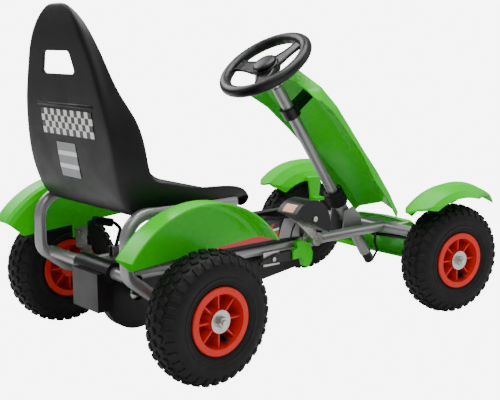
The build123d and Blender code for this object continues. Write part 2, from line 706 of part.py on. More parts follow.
def belt_plate(wheels, offset, y_low, y_high):
    """A plate between two Y values, its outline a belt pulled tight round several wheels."""
    edges = []
    for (x, z), radius in wheels:
        edges += (Pos(x, z) * Circle(radius + offset)).edges()
    plate = extrude(make_hull(edges), amount=y_high - y_low)
    return Pos(0, y_high, 0) * Rot(90, 0, 0) * plate


def make_drive():
    x, z = crank_x, crank_z
    housings = [
        ring((x, case_inner_y + 3, z), (x, rail_y + rail_radius, z), crank_housing_radius, 13),
        ring((x, case_shoulder_y, z), (x, case_outer_y - 1, z), crank_housing_radius, 13)]
    bore = crank_axle_radius + running_gap
    bearings = [ring((x, rail_y - 2, z), (x, rail_y + rail_radius, z), 13, bore),
                ring((x, case_shoulder_y, z), (x, case_outer_y - 1, z), 13, bore)]
    bearings = [h + b for h, b in zip(housings, bearings)]
    arm_end = crank_arm_y + crank_arm_thickness
    axle = rod((x, -arm_end, z), (x, arm_end, z), crank_axle_radius)
    arms = []
    for side, angle in ((-1, crank_angle), (1, crank_angle + 180)):
        px = x + crank_length * cos(radians(angle))
        pz = z + crank_length * sin(radians(angle))
        y0 = side * crank_arm_y
        y1 = side * arm_end
        arm = rod((x, y0, z), (x, y1, z), 16)
        arm += rod((px, y0, pz), (px, y1, pz), 12)
        bar_shape = Pos(crank_length / 2, 0, 0) * Box(crank_length, crank_arm_thickness, 18)
        arm += Pos(x, (y0 + y1) / 2, z) * Rot(0, -angle, 0) * bar_shape
        arm -= rod((x, y0 - 1 * side, z), (x, y1 + 1 * side, z), crank_axle_radius)
        arm += rod((px, y1, pz), (px, side * (pedal_inner_y + pedal_width + 3), pz), axle_end_radius)
        arms.append(arm)
    disc = ring((x, case_shoulder_y - 4.5, z), (x, case_shoulder_y - 2, z), crank_cap_radius,
                crank_axle_radius)
    disc += ring((x, -crank_arm_y, z), (x, case_shoulder_y - 2, z), 15, crank_axle_radius)
    keep("crank", axle, *arms, disc)
    keep("chainring", sprocket(chainring_teeth, chain_y, crank_axle_radius, x, z))
    ring_radius = chain_pitch / (2 * sin(pi / chainring_teeth))
    sprocket_radius = chain_pitch / (2 * sin(pi / sprocket_teeth))
    big = ((x, z), ring_radius)
    small = ((0, tyre_radius), sprocket_radius)
    links = []
    for y in (chain_y - 4.2, chain_y + 3.0):
        links.append(belt_plate((big, small), 4.2, y, y + 1.2) - belt_plate((big, small), -4.2, y - 1,
                                                                            y + 2.2))
    span = Vector(x, 0, z) - Vector(0, 0, tyre_radius)
    tilt = asin((ring_radius - sprocket_radius) / span.length)
    run = sqrt(span.length ** 2 - (ring_radius - sprocket_radius) ** 2)
    chain = links[0] + links[1]
    for side in (1, -1):
        along = span.normalized().rotate(Axis.Y, -degrees(tilt) * side)
        normal = Vector(-along.Z, 0, along.X) * side
        start = Vector(0, 0, tyre_radius) + normal * sprocket_radius
        count = int(run / chain_pitch) - 4
        for i in range(count):
            p = start + along * (chain_pitch * (i + 2.5))
            chain += rod((p.X, chain_y - 4.2, p.Z), (p.X, chain_y + 4.2, p.Z), 3.0)
    keep("chain", chain)
    return bearings


def make_rear_axle():
    half_track = rear_track / 2
    step = half_track - hub_half - 1
    end = half_track + wheel_outer_end
    axle = rod((0, -step, tyre_radius), (0, step, tyre_radius), axle_radius)
    axle += rod((0, -end, tyre_radius), (0, end, tyre_radius), axle_end_radius)
    keep("axle_shaft", axle)
    cog = sprocket(sprocket_teeth, chain_y, axle_radius, 0, tyre_radius)
    cog += ring((0, chain_y + 1.5, tyre_radius), (0, chain_y + 8, tyre_radius), 16, axle_radius)
    keep("rear_sprocket", cog)
    nuts = []
    for name, side, driven in (("left", 1, False), ("right", -1, True)):
        for node, shapes in wheel_pieces(0, side * half_track, driven).items():
            if node == "wheel_nut":
                nuts += shapes
            else:
                keep("rear_" + node + "_" + name, *shapes)
    keep("rear_wheel_nuts", *nuts)


def make_case():
    """The two halves of the chain case, a slab round both chain wheels with a shoulder over the rail."""
    wheels = [((0, tyre_radius), 76), ((crank_x - 125, 187), 66), ((crank_x, crank_z), 70)]

    split = (case_inner_y + case_outer_y) / 2
    core = belt_plate(wheels, 0, case_outer_y, case_inner_y)
    core -= belt_plate(wheels, -case_wall, case_outer_y + case_wall, case_inner_y - case_wall)
    shoulder_low = rail_z + rail_radius + 1
    hump_end = crank_x - 30
    hump_top = crank_x - 130
    hump = side_plate([(136, shoulder_low), (hump_end, shoulder_low), (hump_end - 5, shoulder_low + 48),
                       (hump_top, shoulder_low + 62), (146, shoulder_low + 28)], case_shoulder_y,
                      case_outer_y + case_wall)
    hump_hollow = side_plate([(140, shoulder_low - 1), (hump_end - 10, shoulder_low - 1),
                              (hump_end - 16, shoulder_low + 44), (hump_top, shoulder_low + 57),
                              (150, shoulder_low + 24)],
                             case_shoulder_y + case_wall, case_outer_y)
    core += hump - hump_hollow
    core -= rod((0, -80, tyre_radius), (0, 0, tyre_radius), 18)
    core -= rod((mid_cross_x, -80, hoop_low_z), (mid_cross_x, 0, hoop_low_z), hoop_radius + 0.5)
    core -= rod((crank_x, -80, crank_z), (crank_x, 0, crank_z), crank_housing_radius + 3)
    outer = core & block((-300, 900), (-200, split), (-50, 400))
    inner = core & block((-300, 900), (split, 200), (-50, 400))
    keep("chain_case_outer", max(outer.solids(), key=lambda s: s.volume))
    keep("chain_case_inner", max(inner.solids(), key=lambda s: s.volume))


def make_drive_cover():
    """A plastic clamp on the rear cross tube with a box hung under it."""
    clamp = ring((hoop_cross_x, -88, hoop_cross_z), (hoop_cross_x, 36, hoop_cross_z), 21, hoop_radius)
    box = block((-118, -82), (-76, 18), (116, hoop_cross_z))
    box -= rod((hoop_cross_x, -100, hoop_cross_z), (hoop_cross_x, 100, hoop_cross_z), hoop_radius)
    keep("drive_cover", clamp + box)


def make_pedals():
    for name, side, angle in (("right", -1, crank_angle), ("left", 1, crank_angle + 180)):
        px = crank_x + crank_length * cos(radians(angle))
        pz = crank_z + crank_length * sin(radians(angle))
        half = pedal_half_length
        arc = ThreePointArc((-half, 0, -12), (0, 0, 40), (half, 0, -12))
        outline = make_face(arc + Line((half, 0, -12), (-half, 0, -12)))
        body = extrude(outline, amount=pedal_width, dir=(0, 1, 0))
        hollow = make_face(ThreePointArc((-half + 12, 0, -6), (0, 0, 32), (half - 12, 0, -6))
                           + Line((half - 12, 0, -6), (-half + 12, 0, -6)))
        body -= Pos(0, 8, 0) * extrude(hollow, amount=pedal_width - 16, dir=(0, 1, 0))
        body += rod((0, 0, 0), (0, pedal_width, 0), 12)
        body -= rod((0, -1, 0), (0, pedal_width + 1, 0), axle_end_radius + running_gap)
        pocket = block((-half - 20, -half + 11), (14, pedal_width - 14), (-8, 12))
        lens = pocket & extrude(outline, amount=pedal_width, dir=(0, 1, 0))
        body -= pocket
        place = Pos(px, pedal_inner_y, pz) * Rot(0, pedal_tilt, 0)
        shapes = [place * body, place * lens]
        if side < 0:
            shapes = [mirror(s, about=Plane.XZ) for s in shapes]
        keep("pedal_" + name, shapes[0])
        keep("pedal_reflector_" + name, shapes[1])


# ==== hand levers ===========================================================================

brake_pivot = (50.0, 128.0, 182.0)
gear_pivot = (crank_x - 123.0, -72.0, 152.0)


def make_levers():
    x, y, z = brake_pivot
    lever = bar([(x, y, z), (x + 16, y, z + 46), (x + 2, y, z + 60), (x - 8, y, z + 62)], 4, 8)
    lever += rod((x, y - 5, z), (x, y + 5, z), 9)
    lever -= rod((x, y - 6, z), (x, y + 6, z), 4 + running_gap)
    keep("brake_lever", lever)
    keep("brake_grip", rod((x - 6, y, z + 62), (x - 50, y, z + 72), 9.5) - lever)
    low = hoop_low_z
    cross = rod((mid_cross_x, 0, low), (mid_cross_x, 160, low), hoop_radius)
    front = mid_cross_x + 10
    ears = block((x - 10, front), (y - 9, y - 6), (low, z + 9)) + block((x - 10, front), (y + 6, y + 9),
                                                                        (low, z + 9))
    ears += block((x - 10, front), (y - 9, y + 9), (low + 2, low + 15))
    ears -= cross
    brake_mount = max(ears.solids(), key=lambda s: s.volume) + rod((x, y - 9, z), (x, y + 9, z), 4)
    x, y, z = gear_pivot
    arm = side_plate([(x - 40, z - 8), (x + 10, z - 10), (x + 56, z - 12), (x + 56, z + 12),
                      (x + 10, z + 10),
                      (x - 40, z - 2)], y - 4, y + 2)
    arm -= rod((x, y - 6, z), (x, y + 6, z), 5 + running_gap)
    keep("gear_lever", arm)
    grip = side_plate([(x + 56, z - 9), (x + 84, z - 8), (x + 92, z - 30), (x + 104, z - 34),
                       (x + 116, z - 20),
                       (x + 118, z), (x + 108, z + 20), (x + 86, z + 32), (x + 66, z + 30), (x + 70,
                                                                                             z + 18),
                       (x + 56, z + 10)], y - 9, y + 5)
    keep("gear_grip", grip)
    post = block((x - 24, x + 24), (y + 3, -rail_y - rail_radius + 4), (z - 16, z + 16))
    post -= rod((x - 100, -rail_y, rail_z), (x + 100, -rail_y, rail_z), rail_radius)
    post = max(post.solids(), key=lambda s: s.volume)
    post += rod((x, y - 7, z), (x, y + 4, z), 5)
    return brake_mount, post


make_rails()
make_beam()
make_rear_frame()
axle_bearings = make_carriers()
seat_bolts = make_seat_supports()
make_seat(seat_bolts)
fender_brackets, fender_bolts = make_rear_fenders()
fairing, bumper_brackets = make_front_panels()
keep("panel_bolts", *seat_bolts, *fender_bolts)
make_steering()
make_column_mounts(fairing)
make_front_corners()
make_tie_rods()
crank_bearings = make_drive()
keep("drive_bearings", *axle_bearings, *crank_bearings)
make_rear_axle()
make_case()
make_drive_cover()
make_pedals()
lever_brackets = make_levers()
keep("brackets", *fender_brackets, *bumper_brackets, *lever_brackets)

# ==== export ================================================================================

boxes = [piece.bounding_box() for pieces in PARTS.values() for piece in pieces]
middle_x = (min(b.min.X for b in boxes) + max(b.max.X for b in boxes)) / 2
os.makedirs("parts", exist_ok=True)
for node, pieces in PARTS.items():
    moved = [Pos(-middle_x, 0, 0) * piece for piece in pieces]
    shape = moved[0] if len(moved) == 1 else Compound(moved)
    export_step(shape, "parts/" + node + ".step")

print("nodes", len(PARTS))
print("middle_x", round(middle_x, 4))
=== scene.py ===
# %% [markdown]
# # A pedal go kart, dressed on its CAD frame
# The kart is a steel ladder frame with a moulded bucket seat, a plastic shield and mudguards,
# and four pneumatic tyres on red plastic rims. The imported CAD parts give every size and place.
# This script adds what CAD leaves out: tread, moulded edges, patterns and surface finish.

# %% Load the frame
import json
import math

import bmesh
import bpy
from mathutils import Matrix, Vector


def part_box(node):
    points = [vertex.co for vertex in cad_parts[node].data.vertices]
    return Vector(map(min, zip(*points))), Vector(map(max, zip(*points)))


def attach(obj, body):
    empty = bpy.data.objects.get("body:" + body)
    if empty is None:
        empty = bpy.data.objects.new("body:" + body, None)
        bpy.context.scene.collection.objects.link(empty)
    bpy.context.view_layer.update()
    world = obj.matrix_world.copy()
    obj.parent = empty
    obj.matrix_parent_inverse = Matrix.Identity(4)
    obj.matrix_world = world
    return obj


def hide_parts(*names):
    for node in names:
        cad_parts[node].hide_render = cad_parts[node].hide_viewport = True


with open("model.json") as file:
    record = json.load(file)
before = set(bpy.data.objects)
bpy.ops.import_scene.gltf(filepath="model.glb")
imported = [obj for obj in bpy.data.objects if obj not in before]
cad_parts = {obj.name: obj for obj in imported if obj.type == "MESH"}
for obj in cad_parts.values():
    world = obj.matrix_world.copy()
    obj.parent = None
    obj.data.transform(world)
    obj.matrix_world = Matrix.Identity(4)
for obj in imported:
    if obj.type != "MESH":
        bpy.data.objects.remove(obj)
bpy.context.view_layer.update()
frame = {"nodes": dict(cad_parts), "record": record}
MM = 0.001

# %% [markdown]
# ## Where things are
# The CAD model measures along from the rear axle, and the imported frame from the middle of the
# kart. One function turns a place given from the rear axle, in millimetres, into the frame.

# %% Places in the frame
shaft_low, shaft_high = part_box("axle_shaft")
AXLE_X = (shaft_low.x + shaft_high.x) / 2
WHEELBASE = 737
FRONT_TRACK = 536
REAR_TRACK = 544
KINGPIN_Y = 190
REST_STEER = math.radians(-10)
STEER_RATIO = 0.85
TYRE_RADIUS = 130


def at(x, y, z):
    """A place in metres, from millimetres counted from the rear axle on the floor."""
    return Vector((AXLE_X + x * MM, y * MM, z * MM))


print("rear axle at", round(AXLE_X, 4))

# %% [markdown]
# ## The camera
# The kart is seen from behind on its right side, from a little above the seat.
# A long lens keeps the wheels close to their true proportions.

# %% Camera
CAMERA_PLACE = at(-1001.8, -1567.1, 634.2)
CAMERA_YAW = math.radians(48.88)
CAMERA_PITCH = math.radians(-10.045)
camera_data = bpy.data.cameras.new("camera")
camera_data.sensor_width = 36.0
camera_data.lens = 915.62 / 500 * 36
camera_data.shift_x = -0.0224
camera_data.shift_y = 0.0069
camera_data.clip_end = 50
camera = bpy.data.objects.new("camera", camera_data)
camera.location = CAMERA_PLACE
level = math.cos(CAMERA_PITCH)
look = Vector((level * math.cos(CAMERA_YAW), level * math.sin(CAMERA_YAW), math.sin(CAMERA_PITCH)))
camera.rotation_euler = look.to_track_quat("-Z", "Y").to_euler()
bpy.context.scene.collection.objects.link(camera)
bpy.context.scene.camera = camera
print("lens", round(camera_data.lens, 2))

# %% [markdown]
# ## Light and floor
# Soft white boxes on both sides and overhead, as in a product studio, leave broad highlights on
# the plastic. The camera sees the sky and the floor as one even white, which lights nothing: the
# kart itself is lit by the boxes, a dim sky and what the pale floor throws back.

# %% Stage


def hex_colour(text):
    """An sRGB colour such as "#20C010" as linear red, green, blue and alpha."""
    values = [int(text[i:i + 2], 16) / 255 for i in (1, 3, 5)]
    return [v / 12.92 if v <= 0.04045 else ((v + 0.055) / 1.055) ** 2.4 for v in values] + [1.0]


def add_node(tree, kind, links=None, **settings):
    """Add a node, set its sockets and properties by name, and link other outputs into it."""
    node = tree.nodes.new(kind)
    for name, value in settings.items():
        setattr(node, name, value)
    for socket, value in (links or {}).items():
        if isinstance(value, bpy.types.NodeSocket):
            tree.links.new(value, node.inputs[socket])
        else:
            node.inputs[socket].default_value = value
    return node


def add_area_light(name, place, target, size, power):
    data = bpy.data.lights.new(name, "AREA")
    data.shape = "RECTANGLE"
    data.size, data.size_y = size
    data.energy = power
    light = bpy.data.objects.new(name, data)
    light.location = place
    light.rotation_euler = (Vector(target) - Vector(place)).to_track_quat("-Z", "Y").to_euler()
    bpy.context.scene.collection.objects.link(light)


add_area_light("key_light", (-1.3, -2.1, 2.5), (0, 0, 0.3), (1.8, 1.4), 24)
add_area_light("fill_light", (2.4, -1.6, 1.5), (0.1, 0, 0.3), (1.8, 1.8), 14)
add_area_light("back_light", (-0.4, 2.6, 2.3), (0, 0, 0.3), (2.4, 1.4), 60)
add_area_light("top_light", (0.1, 0.0, 3.0), (0, 0, 0), (2.2, 2.2), 130)


def light_backdrop(tree, output, surface, strength):
    """Show a bright white to the camera only, and leave what lights the kart as it is."""
    glow = add_node(tree, "ShaderNodeEmission", {"Color": (1, 1, 1, 1), "Strength": strength}).outputs[0]
    seen = add_node(tree, "ShaderNodeLightPath").outputs["Is Camera Ray"]
    both = add_node(tree, "ShaderNodeMixShader", {0: seen, 1: surface, 2: glow}).outputs[0]
    tree.links.new(both, output.inputs["Surface"])


BACKDROP_GLOW = 7.0
SKY_STRENGTH = 0.42
FLOOR_HALF = 30
world = bpy.data.worlds.new("studio")
world.use_nodes = True
sky = world.node_tree.nodes["Background"]
sky.inputs["Color"].default_value = (1, 1, 1, 1)
sky.inputs["Strength"].default_value = SKY_STRENGTH
light_backdrop(world.node_tree, world.node_tree.nodes["World Output"], sky.outputs[0], BACKDROP_GLOW)
bpy.context.scene.world = world
floor_mesh = bpy.data.meshes.new("floor")
floor_corners = [(x * FLOOR_HALF, y * FLOOR_HALF, 0) for x, y in ((-1, -1), (1, -1), (1, 1), (-1, 1))]
floor_mesh.from_pydata(floor_corners, [], [(0, 1, 2, 3)])
floor = bpy.data.objects.new("floor", floor_mesh)
bpy.context.scene.collection.objects.link(floor)
floor_material = bpy.data.materials.new("pale_floor")
floor_material.use_nodes = True
floor_tree = floor_material.node_tree
floor_shader = floor_tree.nodes["Principled BSDF"]
floor_shader.inputs["Base Color"].default_value = (0.8, 0.8, 0.8, 1)
floor_shader.inputs["Roughness"].default_value = 0.8
light_backdrop(floor_tree, floor_tree.nodes["Material Output"], floor_shader.outputs[0], BACKDROP_GLOW)
floor.data.materials.append(floor_material)
print("lights and floor ready")

# %% [markdown]
# ## Finishes
# Every material is built by the same few steps: a base colour with a little uneven tone, a
# roughness that wanders with handling, and a bump at the grain's real size in millimetres.

# %% One way to build a finish


def make_finish(name, colour, shade, rough, grain_mm, bump_mm, metallic=0.0, shine=0.5, coat=0.0,
                spread=0.08, patch_mm=60.0):
    """A procedural finish: two close tones in patches, uneven roughness, and a fine grain."""
    material = bpy.data.materials.new(name)
    material.use_nodes = True
    tree = material.node_tree
    shader = tree.nodes["Principled BSDF"]
    place = add_node(tree, "ShaderNodeTexCoord").outputs["Object"]
    patches = add_node(tree, "ShaderNodeTexNoise", {"Vector": place, "Scale": 1000 / patch_mm,
                                                    "Detail": 4.0})
    tone = add_node(tree, "ShaderNodeMix", {"Factor": patches.outputs["Fac"], 6: hex_colour(colour),
                                            7: hex_colour(shade)}, data_type="RGBA")
    wear = add_node(tree, "ShaderNodeMapRange", {"Value": patches.outputs["Fac"], "From Min": 0.3,
                                                 "From Max": 0.7, "To Min": rough - spread,
                                                 "To Max": rough + spread})
    grain = add_node(tree, "ShaderNodeTexNoise", {"Vector": place, "Scale": 1000 / grain_mm,
                                                  "Detail": 2.0})
    bump = add_node(tree, "ShaderNodeBump", {"Height": grain.outputs["Fac"], "Strength": 0.6,
                                             "Distance": bump_mm * MM})
    tree.links.new(tone.outputs[2], shader.inputs["Base Color"])
    tree.links.new(wear.outputs["Result"], shader.inputs["Roughness"])
    tree.links.new(bump.outputs["Normal"], shader.inputs["Normal"])
    shader.inputs["Metallic"].default_value = metallic
    shader.inputs["Specular IOR Level"].default_value = shine
    shader.inputs["Coat Weight"].default_value = coat
    shader.inputs["Coat Roughness"].default_value = 0.12
    return material


# Lime green polypropylene, injection moulded in a polished tool: glossy, faintly wavy.
lime_polypropylene = make_finish("lime_polypropylene", "#2CC800", "#26BC00", 0.3, 9.0, 0.05, shine=0.3)
# Red polypropylene of the rims: a slightly duller tool finish.
red_polypropylene = make_finish("red_polypropylene", "#D81E04", "#C41602", 0.36, 3.0, 0.03, shine=0.3)
# Black polyethylene of the seat, blow moulded with a fine leathery tool grain.
black_polyethylene = make_finish("black_polyethylene", "#0B0B0C", "#111112", 0.42, 1.6, 0.12, shine=0.25)
# Black ABS of covers, pedals and steering wheel: harder and a touch glossier.
black_abs = make_finish("black_abs", "#09090A", "#0F0F10", 0.36, 2.2, 0.05, shine=0.3)
# Carbon black tyre rubber: matt, faintly dusty in random patches.
tyre_rubber = make_finish("tyre_rubber", "#0B0B0B", "#131312", 0.6, 1.2, 0.15, shine=0.22, patch_mm=25.0)
soft_rubber = make_finish("soft_rubber", "#0B0B0B", "#111111", 0.6, 1.0, 0.08, shine=0.22)
# Silver grey polyester powder coat on steel tube, with its slight orange peel.
silver_powder_coat = make_finish("silver_powder_coat", "#8A898B", "#949395", 0.33, 2.4, 0.05,
                                 metallic=0.6, coat=0.15)
# Black enamel on bent wire and flat levers.
black_enamel = make_finish("black_enamel", "#090909", "#0F0F0F", 0.3, 3.0, 0.03, shine=0.35)
# Bright zinc plate on turned and pressed steel: grey metal with cloudy patches.
zinc_plate = make_finish("zinc_plate", "#C9C8C2", "#A9A8A6", 0.32, 1.5, 0.02, metallic=1.0, patch_mm=8.0)
# Amber acrylic of the pedal reflectors.
amber_acrylic = make_finish("amber_acrylic", "#D08A3A", "#C07A2C", 0.2, 3.0, 0.15, coat=0.3)
print("finishes", len(bpy.data.materials))

# %% [markdown]
# ## Finishes on the CAD parts
# The record names a material slot for every CAD part. Each slot has one finish, so the parts
# that keep their CAD shape only need it assigned.

# %% Dress the CAD nodes
SLOT_FINISH = {
    "green_plastic": lime_polypropylene, "red_plastic": red_polypropylene, "black_plastic": black_abs,
    "tyre": tyre_rubber, "rubber": soft_rubber, "grey_paint": silver_powder_coat, "black_paint": black_enamel,
    "zinc": zinc_plate, "amber": amber_acrylic}
for subpart in frame["record"]["subparts"]:
    mesh = frame["nodes"][subpart["node"]].data
    mesh.materials.clear()
    mesh.materials.append(SLOT_FINISH[subpart["material_slot"]])

# %% [markdown]
# ## From a list of sections to a piece
# Most moulded pieces are a skin stretched over cross-sections. One helper turns points and faces
# into an object at the origin, and one more lofts a skin over rows of points.

# %% Mesh helpers


def make_piece(name, points, faces, materials, smooth=True):
    """A mesh object at the origin from points in metres and faces."""
    mesh = bpy.data.meshes.new(name)
    mesh.from_pydata([tuple(p) for p in points], [], faces)
    mesh.update()
    for material in materials:
        mesh.materials.append(material)
    piece = bpy.data.objects.new(name, mesh)
    bpy.context.scene.collection.objects.link(piece)
    if smooth:
        mesh.shade_smooth()
    return piece


def grid_faces(rows, columns, closed_rows=False, closed_columns=False):
    """Quads over a grid of points stored row by row."""
    faces = []
    for i in range(rows if closed_rows else rows - 1):
        for j in range(columns if closed_columns else columns - 1):
            a, b = i * columns + j, i * columns + (j + 1) % columns
            c, d = ((i + 1) % rows) * columns + (j + 1) % columns, ((i + 1) % rows) * columns + j
            faces.append((a, b, c, d))
    return faces


def face_outwards(piece):
    """Merge doubles and turn every face outwards."""
    edit = bmesh.new()
    edit.from_mesh(piece.data)
    bmesh.ops.remove_doubles(edit, verts=edit.verts, dist=0.00001)
    bmesh.ops.recalc_face_normals(edit, faces=edit.faces)
    edit.to_mesh(piece.data)
    edit.free()


def apply_modifiers(piece):
    """Bake a piece's modifiers into its mesh, so that nothing live is left on it."""
    graph = bpy.context.evaluated_depsgraph_get()
    baked = bpy.data.meshes.new_from_object(piece.evaluated_get(graph))
    old = piece.data
    piece.modifiers.clear()
    piece.data = baked
    bpy.data.meshes.remove(old)


def join_pieces(name, pieces):
    """Join meshes that ride on one body into a single piece."""
    slots = []
    for piece in pieces:
        for material in piece.data.materials:
            if material not in slots:
                slots.append(material)
    joined = bmesh.new()
    for piece in pieces:
        remap = [slots.index(material) for material in piece.data.materials]
        start = len(joined.faces)
        joined.from_mesh(piece.data)
        joined.faces.ensure_lookup_table()
        for face in joined.faces[start:]:
            face.material_index = remap[face.material_index] if remap else 0
    mesh = bpy.data.meshes.new(name)
    joined.to_mesh(mesh)
    joined.free()
    for material in slots:
        mesh.materials.append(material)
    for piece in pieces:
        old = piece.data
        bpy.data.objects.remove(piece)
        bpy.data.meshes.remove(old)
    whole = bpy.data.objects.new(name, mesh)
    bpy.context.scene.collection.objects.link(whole)
    return whole


def add_lathe(name, profile, steps, materials, closed=True):
    """Turn a profile of (radius, height) in millimetres about Z."""
    points = []
    for radius, height in profile:
        for k in range(steps):
            angle = 2 * math.pi * k / steps
            points.append(Vector((radius * math.cos(angle), radius * math.sin(angle), height)) * MM)
    faces = grid_faces(len(profile), steps, closed_rows=closed, closed_columns=True)
    piece = make_piece(name, points, faces, materials)
    face_outwards(piece)
    return piece


def arc_points(start, through, end, count):
    """Points on the circular arc through three (radius, height) points, without the last one."""
    (ax, ay), (bx, by), (cx, cy) = start, through, end
    d = 2 * (ax * (by - cy) + bx * (cy - ay) + cx * (ay - by))
    a2, b2, c2 = ax * ax + ay * ay, bx * bx + by * by, cx * cx + cy * cy
    ux = (a2 * (by - cy) + b2 * (cy - ay) + c2 * (ay - by)) / d
    uy = (a2 * (cx - bx) + b2 * (ax - cx) + c2 * (bx - ax)) / d
    radius = math.hypot(ax - ux, ay - uy)
    first, middle, last = (math.atan2(y - uy, x - ux) for x, y in (start, through, end))
    sweep = (last - first) % (2 * math.pi)
    if (middle - first) % (2 * math.pi) > sweep:
        sweep -= 2 * math.pi
    angles = [first + sweep * i / count for i in range(count)]
    return [(ux + radius * math.cos(angle), uy + radius * math.sin(angle)) for angle in angles]


print("mesh helpers ready")

# %% [markdown]
# ## Knobbly tyres
# A kart's pneumatic tyre has a soft crown and rows of moulded blocks: small ones on the crown and
# long lugs that run down the shoulder. The carcass is turned from its section. The blocks repeat
# by rule, so Geometry Nodes set one block at even angles round the tyre, row by row.

# %% One tread block and the row that repeats it


def add_block(name, long_mm, wide_mm, high_mm):
    """A tread block with chamfered edges: narrower at its top than at its foot."""
    levels = [(1.0, -0.4), (0.94, 0.72), (0.78, 1.0)]
    points = []
    for scale, level in levels:
        half_long, half_wide = long_mm / 2 * scale, wide_mm / 2 * scale
        cut = 0.3 * min(half_long, half_wide)
        near_long, near_wide = half_long - cut, half_wide - cut
        for x, y in ((near_long, -half_wide), (half_long, -near_wide), (half_long, near_wide),
                     (near_long, half_wide), (-near_long, half_wide), (-half_long, near_wide),
                     (-half_long, -near_wide), (-near_long, -half_wide)):
            points.append(Vector((level * high_mm, x, y)) * MM)
    faces = grid_faces(3, 8, closed_columns=True) + [tuple(range(16, 24))]
    block = make_piece(name, points, faces, [tyre_rubber], smooth=False)
    edit = bmesh.new()
    edit.from_mesh(block.data)
    bmesh.ops.recalc_face_normals(edit, faces=edit.faces)
    centre_out = sum(face.normal.dot(face.calc_center_median()) for face in edit.faces)
    if centre_out < 0:
        bmesh.ops.reverse_faces(edit, faces=edit.faces)
    edit.to_mesh(block.data)
    edit.free()
    return block


def make_ring_tree():
    """Geometry Nodes: set a block at even angles on a circle, tilted towards one side."""
    tree = bpy.data.node_groups.new("blocks_round_a_tyre", "GeometryNodeTree")
    sockets = {}
    kinds = {"Block": "NodeSocketObject", "Count": "NodeSocketInt", "Radius": "NodeSocketFloat",
             "Side": "NodeSocketFloat", "Start": "NodeSocketFloat", "Tilt": "NodeSocketFloat",
             "Twist": "NodeSocketFloat", "Rubber": "NodeSocketMaterial"}
    for label, kind in kinds.items():
        sockets[label] = tree.interface.new_socket(label, in_out="INPUT", socket_type=kind).identifier
    tree.interface.new_socket("Geometry", in_out="OUTPUT", socket_type="NodeSocketGeometry")
    given = tree.nodes.new("NodeGroupInput").outputs
    index = add_node(tree, "GeometryNodeInputIndex").outputs[0]
    part = add_node(tree, "ShaderNodeMath", {0: index, 1: given["Count"]}, operation="DIVIDE").outputs[0]
    turn = add_node(tree, "ShaderNodeMath", {0: part, 1: 2 * math.pi, 2: given["Start"]},
                    operation="MULTIPLY_ADD").outputs[0]
    cosine = add_node(tree, "ShaderNodeMath", {0: turn}, operation="COSINE").outputs[0]
    sine = add_node(tree, "ShaderNodeMath", {0: turn}, operation="SINE").outputs[0]
    reach = given["Radius"]
    x = add_node(tree, "ShaderNodeMath", {0: cosine, 1: reach}, operation="MULTIPLY").outputs[0]
    y = add_node(tree, "ShaderNodeMath", {0: sine, 1: reach}, operation="MULTIPLY").outputs[0]
    place = add_node(tree, "ShaderNodeCombineXYZ", {"X": x, "Y": y, "Z": given["Side"]}).outputs[0]
    points = add_node(tree, "GeometryNodePoints", {"Count": given["Count"],
                                                   "Position": place}).outputs[0]
    block = add_node(tree, "GeometryNodeObjectInfo", {"Object": given["Block"]}).outputs["Geometry"]
    lean = add_node(tree, "ShaderNodeCombineXYZ", {"X": given["Twist"], "Y": given["Tilt"]}).outputs[0]
    leaned = add_node(tree, "GeometryNodeTransform", {"Geometry": block, "Rotation": lean}).outputs[0]
    spin = add_node(tree, "ShaderNodeCombineXYZ", {"Z": turn}).outputs[0]
    copies = add_node(tree, "GeometryNodeInstanceOnPoints", {"Points": points, "Instance": leaned,
                                                             "Rotation": spin}).outputs[0]
    real = add_node(tree, "GeometryNodeRealizeInstances", {"Geometry": copies}).outputs[0]
    coated = add_node(tree, "GeometryNodeSetMaterial", {"Geometry": real,
                                                        "Material": given["Rubber"]}).outputs[0]
    output = tree.nodes.new("NodeGroupOutput")
    tree.links.new(coated, output.inputs[0])
    return tree, sockets


ring_tree, ring_sockets = make_ring_tree()


def add_ring(name, block, material, **values):
    """One row of copies round Z, made real."""
    row = make_piece(name, [(0, 0, 0)], [], [material])
    modifier = row.modifiers.new("copies", "NODES")
    modifier.node_group = ring_tree
    modifier[ring_sockets["Block"]] = block
    modifier[ring_sockets["Rubber"]] = material
    for label, value in values.items():
        modifier[ring_sockets[label]] = value
    apply_modifiers(row)
    return row


print("ring tree nodes", len(ring_tree.nodes))

# %% The carcass and its rows of blocks
BLOCKS_ROUND = 34
crown_block = add_block("crown_block", 15, 12.5, 4)
lug_block = add_block("lug_block", 12.5, 19, 3.4)


def make_carcass():
    """The tyre's section: bead, sidewall with two moulded rings, shoulder and crown."""
    half = [(56, 24.0), (56, 33.5), (66, 33.5), (68, 35.2), (71, 36.6), (72, 38.4), (74, 38.6)]
    half += [(75, 37.8), (78, 38.6), (80, 40.6), (82.5, 40.8), (84, 39.6)]
    half += arc_points((86, 40.0), (105, 38.6), (116, 32), 6)
    half += arc_points((116, 32), (123, 19), (125.5, 0), 8)
    outside = half + [(125.5, 0.0)] + [(r, -h) for r, h in reversed(half)]
    inside = [(60, -24)]
    inside += arc_points((62, -28), (90, -37), (112, -28), 6)
    inside += arc_points((112, -28), (121, 0), (112, 28), 8)
    inside += arc_points((112, 28), (90, 37), (62, 28), 6)
    inside.append((60, 24))
    return add_lathe("carcass", outside + inside, 96, [tyre_rubber])


